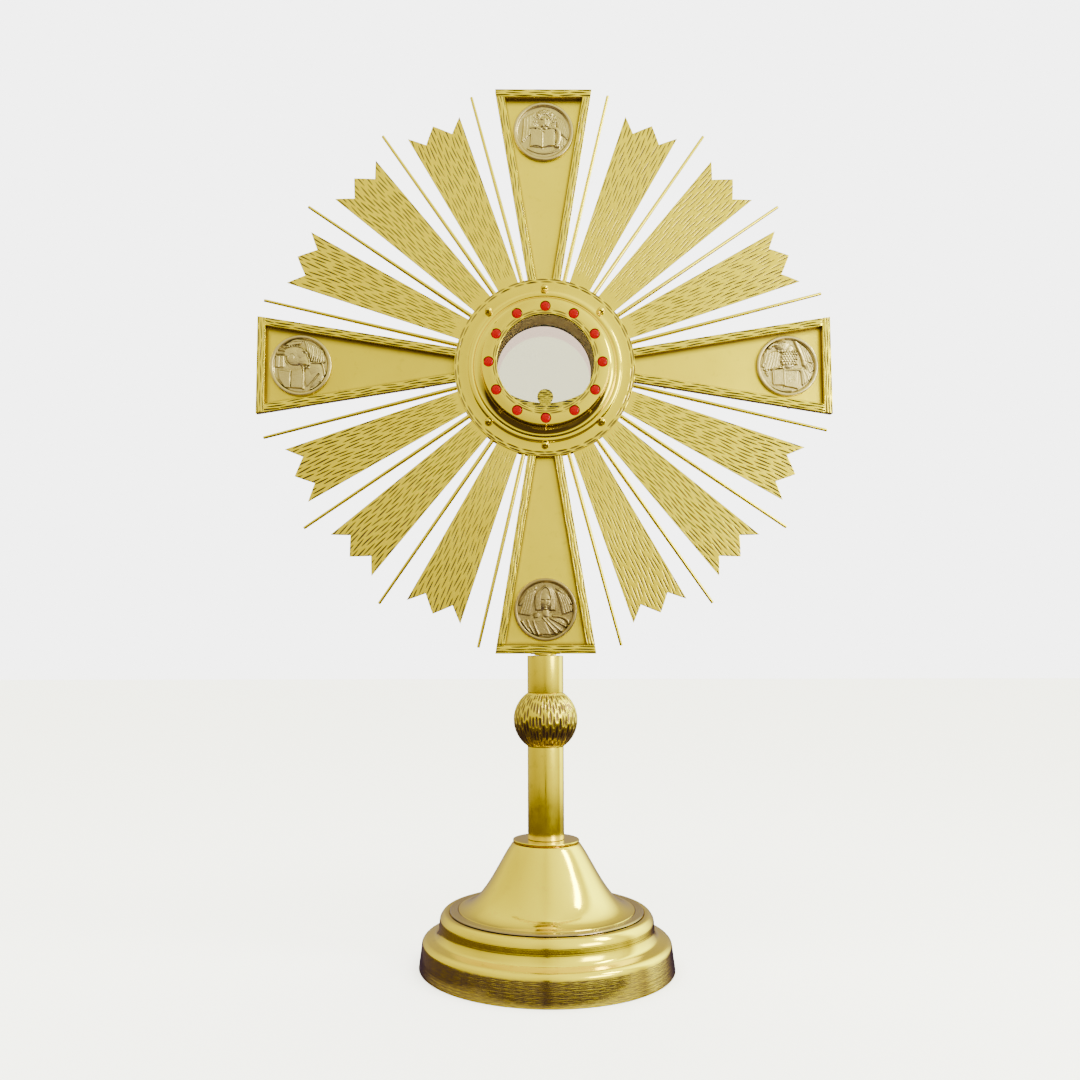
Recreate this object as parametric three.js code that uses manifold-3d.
// A sunburst monstrance in brass, in millimetres.
// The origin is the centre of the foot on the table, +Z is up and the front looks along -Y.
import * as THREE from "three";
import { mergeVertices } from "three/addons/utils/BufferGeometryUtils.js";
import Module from "manifold-3d";

const wasm = await Module();
wasm.setup();

// ---- driving dimensions ----
const totalHeight = 710;
const armReach = 233.6; // centre of the sunburst to the end of each arm
const lunaZ = totalHeight - armReach; // height of the sunburst's centre
const gap = 0.3; // left between pieces that touch
const sheet = 1.2; // thickness of the spun and cut brass sheet
const overlap = 0.5; // how far two pieces that are joined run into each other

// foot
const footRadius = 99.8;
const footHem = 4; // width of the turned-in hem that rests on the table
const bandTop = 18.6; // top of the rim's vertical band
const ledgeZ = 42.3; // upper ledge, which the cone's flange lies on
const ledgeRadius = 82.2;
const ledgeHole = 64; // radius of the hole under the cone
const coneFlange = 76;
const coneTop = 95.4;
const coneTopRadius = 27;
const capRadius = 26.2;
const capThickness = 1.4;

// stem
const stemRadius = 14.4;
const knopRadius = 25.5;
const knopZ = 190.6;
const knopWall = 2;
const knopBore = 10;
const rodRadius = 4; // threaded tie rod up the middle of the stem
const rodHole = 4.6;
const rodBottom = 83;
const rodTop = 274;
const nutRadius = 7.5;
const nutHeight = 6.5;
const neckRadius = 8.7;
const neckHeight = 1.4;
const socketWidth = 24;
const socketDepth = 11;
const socketHeight = 40;

// sunburst, seen from the front; "front" values are Y of a front face
const armWidth = 80.5; // at the outer end
const armNose = -12; // distance from the centre where the arm's two edges would meet
const borderWidth = 6.5;
const borderFront = -12.4;
const trayFront = -7;
const armBack = trayFront + sheet; // back face of the arm plates
const rivetRadius = 2.4;
const rivetHeight = 3.2;
const rivetPlaces = [99, 200];
const medallionRadius = 25.25;
const medallionPlace = 198.5;
const medallionThickness = 2.6;
const rayAngles = [24, 45, 65.5]; // centres of the cut plates, in each quarter
const rodAngles = [13.2, 34.4, 55.4, 75.2];
const rayTip = 221;
const rayNotch = 208.5;
const rayRootWidth = 17.6;
const rayTipWidth = 47;
const rayNotchPlace = 12.4; // sideways from the plate's centre line
const rayRodRadius = 1.8;
const rayRodTipRadius = 1.2;
const rayRodTip = 235;

// luna, the round glazed case
const caseDrop = 2.1; // the case sits this much below the centre of the arms
const hubRadius = 67;
const hubBore = 58;
const flangeRadius = 73.4;
const stepRadius = 63.2;
const mouldRadius = 53.4;
const mouldHeight = 5.6;
const drumRadius = 50.6;
const drumHeight = 14; // from the flange's face to the bezel's back
const bezelRadius = 50.9;
const windowRadius = 38.8;
const glassRadius = 41.2;
const glassThickness = 2;
const stoneCount = 12;
const stoneCircle = 45.4;
const stoneRadius = 3.7;
const stoneHole = 4.1;
const stoneStand = 1.7; // how far a stone stands proud of the bezel
const boltAngles = [0, 45, 135, 180, 225, 315];
const boltCircle = 64.4;
const nutDomeRadius = 3.1;
const nutBarrel = 3.4; // height of a dome nut's straight part
const rearNutHeight = 2.6;
const caseBack = 1.2; // Y of the rear face

// rear door and its hinge
const doorRadius = 47.5;
const doorDepth = 3.2;
const doorLip = 0.9; // the thin edge that holds the pane in
const hingeX = 51.5;
const knuckleRadius = 2.6;
const hingeY = caseBack + gap + knuckleRadius;
const pinRadius = 1.2;
const pinHole = 1.4;
const doorKnuckle = 10;
const sideKnuckle = 6;
const knuckleGap = 0.4;
const knobRadius = 2.8;
const knobLength = 6;

// lunula, the crescent clip that stands in the case
const lunulaFront = -21.4;
const lunulaPlate = 1.2;
const lunulaSlot = 1.6; // between its two plates
const lunulaRadius = windowRadius - 0.5;
const lunulaHorn = 23.6; // how far below the centre the horns end
const lunulaDip = 31.7; // how far below the centre its upper edge dips
const tabRadius = 6.4;
const tabDrop = 26.6;
const tabNeck = 8.5;
const soleHeight = 3;
const soleLift = 0.9; // the sole's underside above the liner

const round = 36; // facets on the large turned pieces
const small = 24;
const flareSteps = 7; // straight stretches along the cone's flare
const tiny = 12;

// ---- materials ----
const metal = (color, roughness) =>
  new THREE.MeshStandardMaterial({ color, roughness, metalness: 1 });
const polishedBrass = metal(0xd2bd6a, 0.2);
const satinBrass = metal(0xcbb760, 0.45);
const cutBrass = metal(0xc4ae55, 0.35);
const darkBrass = metal(0x8a6f33, 0.5);
const paleMetal = metal(0xb9ac84, 0.4);
const steel = metal(0x9a9a96, 0.5);
const redGlass = new THREE.MeshStandardMaterial({ color: 0xd01018, roughness: 0.1, metalness: 0 });
const clearGlass = new THREE.MeshStandardMaterial({
  color: 0xe4e2da,
  roughness: 0.05,
  metalness: 0,
  transparent: true,
  opacity: 0.35,
});

const monstrance = new THREE.Group();
const head = new THREE.Group();
head.position.z = lunaZ;
const luna = new THREE.Group();
luna.position.z = lunaZ - caseDrop;
monstrance.add(head, luna);

// ---- tools ----
const radians = THREE.MathUtils.degToRad;

function add(group, name, geometry, material) {
  const mesh = new THREE.Mesh(geometry, material);
  mesh.name = name;
  group.add(mesh);
  return mesh;
}

function toSolid(geometry) {
  const bare = geometry.clone();
  bare.deleteAttribute("normal");
  bare.deleteAttribute("uv");
  const merged = mergeVertices(bare, 1e-3);
  return new wasm.Manifold(
    new wasm.Mesh({
      numProp: 3,
      vertProperties: merged.attributes.position.array,
      triVerts: new Uint32Array(merged.index.array),
    }),
  );
}

function toGeometry(solid) {
  const mesh = solid.getMesh();
  const geometry = new THREE.BufferGeometry();
  geometry.setAttribute("position", new THREE.BufferAttribute(mesh.vertProperties, 3));
  geometry.setIndex(new THREE.BufferAttribute(mesh.triVerts, 1));
  geometry.computeVertexNormals();
  return geometry;
}

function join(...geometries) {
  return toGeometry(geometries.map(toSolid).reduce((whole, next) => whole.add(next)));
}

function cut(geometry, ...tools) {
  return toGeometry(tools.map(toSolid).reduce((rest, tool) => rest.subtract(tool), toSolid(geometry)));
}

// A turned piece: its outline is [radius, height] pairs, anticlockwise, closed back to its start.
function turned(outline, facets) {
  const points = [...outline, outline[0]].map(([radius, height]) => new THREE.Vector2(radius, height));
  return new THREE.LatheGeometry(points, facets);
}

// The same for a piece whose axis is vertical.
function turnedUpright(outline, facets) {
  return turned(outline, facets).rotateX(Math.PI / 2);
}

function ring(inner, outer, low, high) {
  return [[inner, low], [outer, low], [outer, high], [inner, high]];
}

// Gives a spun skin its thickness: the outline runs along the outside and back along the inside.
function spunWall(skin, thickness) {
  const inside = skin.map((point, i) => {
    const before = skin[Math.max(i - 1, 0)];
    const after = skin[Math.min(i + 1, skin.length - 1)];
    const into = new THREE.Vector2(point[0] - before[0], point[1] - before[1]).normalize();
    const out = new THREE.Vector2(after[0] - point[0], after[1] - point[1]).normalize();
    const along = into.clone().add(out).normalize();
    const reach = thickness / Math.max(along.dot(i === 0 ? out : into), 0.5);
    return [point[0] - along.y * reach, point[1] + along.x * reach];
  });
  return [...skin, ...inside.reverse()];
}

// A flat piece cut in the plane of the sunburst: shape X is across, shape Y is up.
function flatPiece(shape, front, thickness, curveSegments = 12) {
  const geometry = new THREE.ExtrudeGeometry(shape, {
    depth: thickness,
    bevelEnabled: false,
    curveSegments,
  });
  return geometry.rotateX(Math.PI / 2).translate(0, front + thickness, 0);
}

function outlineShape(points) {
  return new THREE.Shape(points.map(([x, y]) => new THREE.Vector2(x, y)));
}

// A cylinder along Y, from one Y to another.
function peg(radius, x, z, fromY, toY, facets) {
  return new THREE.CylinderGeometry(radius, radius, toY - fromY, facets)
    .translate(x, (fromY + toY) / 2, z);
}

// ---- foot ----
function footSkirt() {
  const skin = [
    [footRadius - footHem, 0],
    [footRadius, 0],
    [footRadius - 0.8, bandTop * 0.6],
    [footRadius - 2.2, bandTop],
    [footRadius - 4.8, bandTop + 4],
    [ledgeRadius + 7.8, bandTop + 5.6],
    [ledgeRadius + 5.6, bandTop + 11],
    [ledgeRadius + 1.2, ledgeZ - 2.6],
    [ledgeRadius - 1.6, ledgeZ],
    [ledgeHole, ledgeZ],
  ];
  return turnedUpright(spunWall(skin, sheet), round);
}

function footCone() {
  const flare = new THREE.CubicBezierCurve(
    new THREE.Vector2(coneFlange - 4, ledgeZ + gap + sheet + 0.4),
    new THREE.Vector2(50, 48),
    new THREE.Vector2(38, 79),
    new THREE.Vector2(coneTopRadius, coneTop),
  );
  const skin = [
    [coneFlange, ledgeZ + gap + sheet],
    ...flare.getPoints(flareSteps).map((point) => [point.x, point.y]),
    [rodHole, coneTop],
  ];
  return turnedUpright(spunWall(skin, sheet), round);
}

const capTop = coneTop + gap + capThickness;
add(monstrance, "foot_skirt", footSkirt(), polishedBrass);
add(monstrance, "foot_cone", footCone(), polishedBrass);
add(
  monstrance,
  "foot_cap_disc",
  turnedUpright(ring(rodHole, capRadius, coneTop + gap, capTop), round),
  polishedBrass,
);

// ---- stem ----
const knopEnd = Math.sqrt(knopRadius ** 2 - stemRadius ** 2); // where the tubes meet the knop
const armBottom = lunaZ - armReach;
const upperTubeTop = armBottom - gap - neckHeight;

function knop() {
  const outer = [];
  const steps = 10;
  const start = Math.asin(stemRadius / knopRadius);
  for (let i = 0; i <= steps; i += 1) {
    const angle = start + ((Math.PI - 2 * start) * i) / steps;
    outer.push([knopRadius * Math.sin(angle), -knopRadius * Math.cos(angle)]);
  }
  const inner = outer
    .filter((point, i) => i % 2 === 1)
    .map(([radius, height]) => {
      const scale = (knopRadius - knopWall) / knopRadius;
      return [radius * scale, height * scale];
    })
    .reverse();
  const outline = [[knopBore, -knopEnd], ...outer, [knopBore, knopEnd], ...inner];
  return turnedUpright(outline, small).translate(0, 0, knopZ);
}

function upperTube() {
  const low = knopZ + knopEnd + gap;
  const outline = [
    [stemRadius - sheet, low],
    [stemRadius, low],
    [stemRadius, upperTubeTop],
    [rodHole, upperTubeTop],
    [rodHole, upperTubeTop - sheet],
    [stemRadius - sheet, upperTubeTop - sheet],
  ];
  return turnedUpright(outline, small);
}

function hexNut(low, high) {
  const body = new THREE.CylinderGeometry(nutRadius, nutRadius, high - low, 6)
    .rotateX(Math.PI / 2)
    .translate(0, 0, (low + high) / 2);
  const bore = new THREE.CylinderGeometry(rodHole, rodHole, nutHeight * 3, tiny)
    .rotateX(Math.PI / 2)
    .translate(0, 0, (low + high) / 2);
  return cut(body, bore);
}

// The block behind the lower arm that the tie rod screws into, standing on the round neck.
function headSocket() {
  const neckLow = upperTubeTop + gap;
  const neck = new THREE.CylinderGeometry(neckRadius, neckRadius, neckHeight, small)
    .rotateX(Math.PI / 2)
    .translate(0, 0, neckLow + neckHeight / 2);
  const block = new THREE.BoxGeometry(socketWidth, socketDepth, socketHeight)
    .translate(0, 0, neckLow + neckHeight - overlap + socketHeight / 2);
  const bore = new THREE.CylinderGeometry(rodHole, rodHole, socketHeight * 3, tiny)
    .rotateX(Math.PI / 2)
    .translate(0, 0, neckLow);
  return cut(join(neck, block), bore);
}

add(
  monstrance,
  "stem_lower_tube",
  turnedUpright(ring(stemRadius - sheet, stemRadius, capTop + gap, knopZ - knopEnd - gap), small),
  polishedBrass,
);
add(monstrance, "stem_knop", knop(), cutBrass);
add(monstrance, "stem_upper_tube", upperTube(), polishedBrass);
add(
  monstrance,
  "tie_rod",
  new THREE.CylinderGeometry(rodRadius, rodRadius, rodTop - rodBottom, tiny)
    .rotateX(Math.PI / 2)
    .translate(0, 0, (rodTop + rodBottom) / 2),
  steel,
);
const nutTop = coneTop - sheet - gap;
add(monstrance, "tie_nut", hexNut(nutTop - nutHeight, nutTop), steel);
add(monstrance, "head_socket", headSocket(), satinBrass);

// ---- arms of the cross ----
const rootPlace = hubRadius + caseDrop + 0.4; // where arms and rays start, measured from the centre

function armHalfWidth(place) {
  return ((armWidth / 2) * (place - armNose)) / (armReach - armNose);
}

const armFlank = Math.atan(armWidth / 2 / (armReach - armNose)); // slope of an arm's side
const borderAcross = borderWidth / Math.cos(armFlank);

function armPlate() {
  const near = armHalfWidth(rootPlace);
  const far = armHalfWidth(armReach);
  const shape = outlineShape([
    [-near, rootPlace],
    [near, rootPlace],
    [far, armReach],
    [-far, armReach],
  ]);
  const rivets = rivetPlaces.flatMap((place) => {
    const out = armHalfWidth(place) - rivetRadius;
    return [-out, out].map((x) => peg(rivetRadius, x, place, armBack - overlap, armBack + rivetHeight, 8));
  });
  return join(flatPiece(shape, trayFront, sheet), ...rivets);
}

function armBorder() {
  const near = armHalfWidth(rootPlace);
  const far = armHalfWidth(armReach);
  const innerEnd = armReach - borderWidth;
  const inFar = armHalfWidth(innerEnd) - borderAcross;
  const inNear = near - borderAcross;
  const shape = outlineShape([
    [inNear, rootPlace],
    [near, rootPlace],
    [far, armReach],
    [-far, armReach],
    [-near, rootPlace],
    [-inNear, rootPlace],
    [-inFar, innerEnd],
    [inFar, innerEnd],
  ]);
  return flatPiece(shape, borderFront, trayFront - gap - borderFront);
}

// Round plaque with a raised rim and a slightly domed field.
function medallion() {
  const back = trayFront - gap;
  const front = back - medallionThickness;
  const outline = [
    [0, front + 1.4],
    [medallionRadius * 0.55, front + 1.7],
    [medallionRadius - 3, front + 1.9],
    [medallionRadius - 2.4, front],
    [medallionRadius - 0.5, front + 0.2],
    [medallionRadius, back],
    [0, back],
  ];
  return new THREE.LatheGeometry(
    outline.map(([radius, height]) => new THREE.Vector2(radius, height)),
    small,
  ).translate(0, 0, medallionPlace);
}

["top", "right", "bottom", "left"].forEach((side, i) => {
  const turn = radians(90 * i);
  add(head, `arm_plate_${side}`, armPlate(), satinBrass).rotation.y = turn;
  add(head, `arm_border_${side}`, armBorder(), cutBrass).rotation.y = turn;
  // each plaque is built at the top of the ring and turned about its own centre to stay upright
  const plaque = add(head, `medallion_${side}`, medallion().translate(0, 0, -medallionPlace), paleMetal);
  plaque.position.set(medallionPlace * Math.sin(turn), 0, medallionPlace * Math.cos(turn));
});

// ---- rays ----
function rayPlate() {
  const root = rayRootWidth / 2;
  const tip = rayTipWidth / 2;
  const shape = outlineShape([
    [-root, rootPlace],
    [root, rootPlace],
    [tip, rayTip - 1.5],
    [rayNotchPlace, rayNotch],
    [0, rayTip],
    [-rayNotchPlace, rayNotch],
    [-tip, rayTip - 1.5],
  ]);
  return flatPiece(shape, borderFront, sheet);
}

function rayRod() {
  const length = rayRodTip - rootPlace;
  return new THREE.CylinderGeometry(rayRodTipRadius, rayRodRadius, length, 8)
    .rotateX(Math.PI / 2)
    .translate(0, borderFront + rayRodRadius + 0.1, rootPlace + length / 2);
}

const twoDigits = (number) => String(number).padStart(2, "0");
for (let quarter = 0; quarter < 4; quarter += 1) {
  rayAngles.forEach((angle, i) => {
    const name = `ray_plate_${twoDigits(quarter * rayAngles.length + i + 1)}`;
    add(head, name, rayPlate(), cutBrass).rotation.y = radians(90 * quarter + angle);
  });
  rodAngles.forEach((angle, i) => {
    const name = `ray_rod_${twoDigits(quarter * rodAngles.length + i + 1)}`;
    add(head, name, rayRod(), polishedBrass).rotation.y = radians(90 * quarter + angle);
  });
}

// ---- case: front cover, bezel, stones, glass, hub and liner ----
const flangeBack = borderFront - gap;
const flangeFront = flangeBack - sheet;
const drumFront = flangeFront - drumHeight;
const bezelBack = drumFront - gap;
const bezelFront = bezelBack - sheet;
const rearFlangeFront = armBack + gap;

function onBolts(make) {
  return boltAngles.map((angle) =>
    make(boltCircle * Math.sin(radians(angle)), boltCircle * Math.cos(radians(angle))),
  );
}

function frontCover() {
  const outline = [
    [drumRadius, drumFront],
    [drumRadius, flangeFront - mouldHeight],
    [mouldRadius, flangeFront - mouldHeight],
    [mouldRadius + 5.4, flangeFront - mouldHeight * 0.72],
    [stepRadius - 0.6, flangeFront - 1],
    [stepRadius, flangeFront],
    [flangeRadius, flangeFront],
    [flangeRadius, flangeBack],
    [stepRadius - 1, flangeBack],
    [mouldRadius + 4.4, flangeBack - mouldHeight * 0.6],
    [drumRadius - sheet, flangeBack - mouldHeight],
    [drumRadius - sheet, drumFront],
  ];
  const domes = onBolts((x, z) => {
    const barrel = peg(nutDomeRadius, x, z, flangeFront - nutBarrel, flangeFront + overlap, 8);
    const dome = new THREE.SphereGeometry(nutDomeRadius - 0.2, 8, 6)
      .translate(x, flangeFront - nutBarrel, z);
    return join(barrel, dome);
  });
  return join(turned(outline, round), ...domes);
}

function bezel() {
  const shape = new THREE.Shape().absarc(0, 0, bezelRadius, 0, Math.PI * 2);
  shape.holes.push(new THREE.Path().absarc(0, 0, windowRadius, 0, Math.PI * 2, true));
  const plate = flatPiece(shape, bezelFront, sheet, round / 2);
  return cut(plate, ...onStones((x, z) => peg(stoneHole, x, z, bezelFront - 1, bezelBack + 1, 8)));
}

function onStones(make) {
  return Array.from({ length: stoneCount }, (unused, i) => {
    const angle = (i * Math.PI * 2) / stoneCount;
    return make(stoneCircle * Math.sin(angle), stoneCircle * Math.cos(angle));
  });
}

// The stones stand on one narrow backing ring behind the bezel.
function stoneRing() {
  const back = bezelBack + gap;
  const strip = turned(ring(glassRadius + gap, stoneCircle + 2.2, back, back + 0.8), round);
  const stones = onStones((x, z) => {
    const dome = new THREE.LatheGeometry(
      [
        new THREE.Vector2(0, bezelFront - stoneStand),
        new THREE.Vector2(stoneRadius * 0.6, bezelFront - stoneStand * 0.8),
        new THREE.Vector2(stoneRadius, bezelFront - 0.2),
        new THREE.Vector2(stoneRadius, back + 0.4),
        new THREE.Vector2(0, back + 0.4),
      ],
      8,
    );
    return dome.translate(x, 0, z);
  });
  return join(strip, ...stones);
}

function pane(front) {
  return peg(glassRadius, 0, 0, front, front + glassThickness, round);
}

const frontGlass = bezelBack + gap;
const linerFront = frontGlass + glassThickness + gap;

add(luna, "luna_front_cover", frontCover(), polishedBrass);
add(luna, "luna_bezel", bezel(), polishedBrass);
add(luna, "stone_ring", stoneRing(), redGlass);
add(luna, "front_glass", pane(frontGlass), clearGlass);
add(luna, "hub_ring", turned(ring(hubBore, hubRadius, borderFront, armBack), round), satinBrass);
add(
  luna,
  "luna_liner",
  turned(ring(windowRadius, windowRadius + sheet, linerFront, caseBack - sheet - gap), round),
  darkBrass,
);

// ---- rear cover and glazed door ----
const knuckleMiddle = doorKnuckle / 2 + knuckleGap + sideKnuckle / 2;

function knuckle(middle, length) {
  return new THREE.CylinderGeometry(knuckleRadius, knuckleRadius, length, tiny)
    .rotateX(Math.PI / 2)
    .translate(hingeX, hingeY, middle);
}

function hingeBore() {
  return new THREE.CylinderGeometry(pinHole, pinHole, doorKnuckle * 4, tiny)
    .rotateX(Math.PI / 2)
    .translate(hingeX, hingeY, 0);
}

function rearCover() {
  const rearFlangeBack = rearFlangeFront + sheet;
  const outline = [
    [windowRadius, caseBack - sheet],
    [drumRadius - sheet, caseBack - sheet],
    [drumRadius - sheet, rearFlangeFront],
    [flangeRadius, rearFlangeFront],
    [flangeRadius, rearFlangeBack],
    [drumRadius, rearFlangeBack],
    [drumRadius, caseBack],
    [windowRadius, caseBack],
  ];
  const nuts = onBolts((x, z) =>
    peg(nutDomeRadius, x, z, rearFlangeBack - overlap, rearFlangeBack + rearNutHeight, 6),
  );
  const ears = [-1, 1].flatMap((side) => [
    knuckle(side * knuckleMiddle, sideKnuckle),
    new THREE.BoxGeometry(4, hingeY, sideKnuckle).translate(hingeX - 0.3, hingeY / 2, side * knuckleMiddle),
  ]);
  return cut(join(turned(outline, round), ...nuts, ...ears), hingeBore());
}

const doorFront = caseBack + gap;
const doorBack = doorFront + doorDepth;

function doorFrame() {
  const outline = [
    [windowRadius, doorBack - doorLip],
    [glassRadius + gap, doorBack - doorLip],
    [glassRadius + gap, doorFront],
    [doorRadius, doorFront],
    [doorRadius, doorBack],
    [windowRadius, doorBack],
  ];
  const leaf = new THREE.BoxGeometry(6, doorDepth * 0.7, doorKnuckle)
    .translate(hingeX - 3.4, doorFront + doorDepth / 2, 0);
  const barrel = knuckle(0, doorKnuckle);
  const knobX = -(glassRadius + doorRadius) / 2;
  const stalk = peg(knobRadius * 0.6, knobX, 0, doorBack - overlap, doorBack + knobLength * 0.6, tiny);
  const knob = peg(knobRadius, knobX, 0, doorBack + knobLength * 0.5, doorBack + knobLength, tiny);
  return cut(join(turned(outline, round), leaf, barrel, stalk, knob), hingeBore());
}

const pinLength = doorKnuckle + 2 * (knuckleGap + sideKnuckle);
const pinHead = 1.2;

function hingePin() {
  const shank = new THREE.CylinderGeometry(pinRadius, pinRadius, pinLength + pinHead, tiny)
    .rotateX(Math.PI / 2)
    .translate(hingeX, hingeY, 0);
  const cap = new THREE.CylinderGeometry(knuckleRadius - 0.4, knuckleRadius - 0.4, pinHead, tiny)
    .rotateX(Math.PI / 2)
    .translate(hingeX, hingeY, pinLength / 2 + gap + pinHead / 2);
  return join(shank, cap);
}

add(luna, "luna_rear_cover", rearCover(), polishedBrass);
add(luna, "door_frame", doorFrame(), polishedBrass);
add(luna, "door_glass", pane(doorBack - doorLip - gap - glassThickness), clearGlass);
add(luna, "door_hinge_pin", hingePin(), steel);

// ---- lunula ----
// A crescent whose outer edge follows the liner and whose upper edge dips between two horns.
function crescent(front) {
  const hornAngle = Math.asin(lunulaHorn / lunulaRadius);
  const hornX = lunulaRadius * Math.cos(hornAngle);
  const sag = lunulaDip - lunulaHorn;
  const dipRadius = (hornX ** 2 + sag ** 2) / (2 * sag);
  const dipAngle = Math.asin(hornX / dipRadius);
  const shape = new THREE.Shape();
  shape.absarc(0, 0, lunulaRadius, Math.PI + hornAngle, Math.PI * 2 - hornAngle);
  shape.absarc(
    0,
    dipRadius - lunulaDip,
    dipRadius,
    Math.PI * 1.5 + dipAngle,
    Math.PI * 1.5 - dipAngle,
    true,
  );
  return flatPiece(shape, front, lunulaPlate, 8);
}

function lunula() {
  const backPlate = lunulaFront + lunulaPlate + lunulaSlot;
  const tab = peg(tabRadius, 0, -tabDrop, lunulaFront, lunulaFront + lunulaPlate, small);
  const neckLow = lunulaDip + overlap * 3;
  const neck = new THREE.BoxGeometry(tabNeck, lunulaPlate, neckLow - tabDrop)
    .translate(0, lunulaFront + lunulaPlate / 2, -(neckLow + tabDrop) / 2);
  const soleMiddle = soleLift + soleHeight / 2 - lunulaRadius;
  const sole = new THREE.BoxGeometry(tabNeck * 2, lunulaPlate * 2 + lunulaSlot, soleHeight)
    .translate(0, lunulaFront + lunulaPlate + lunulaSlot / 2, soleMiddle);
  return join(crescent(lunulaFront), crescent(backPlate), tab, neck, sole);
}

add(luna, "lunula", lunula(), cutBrass);

export default monstrance;
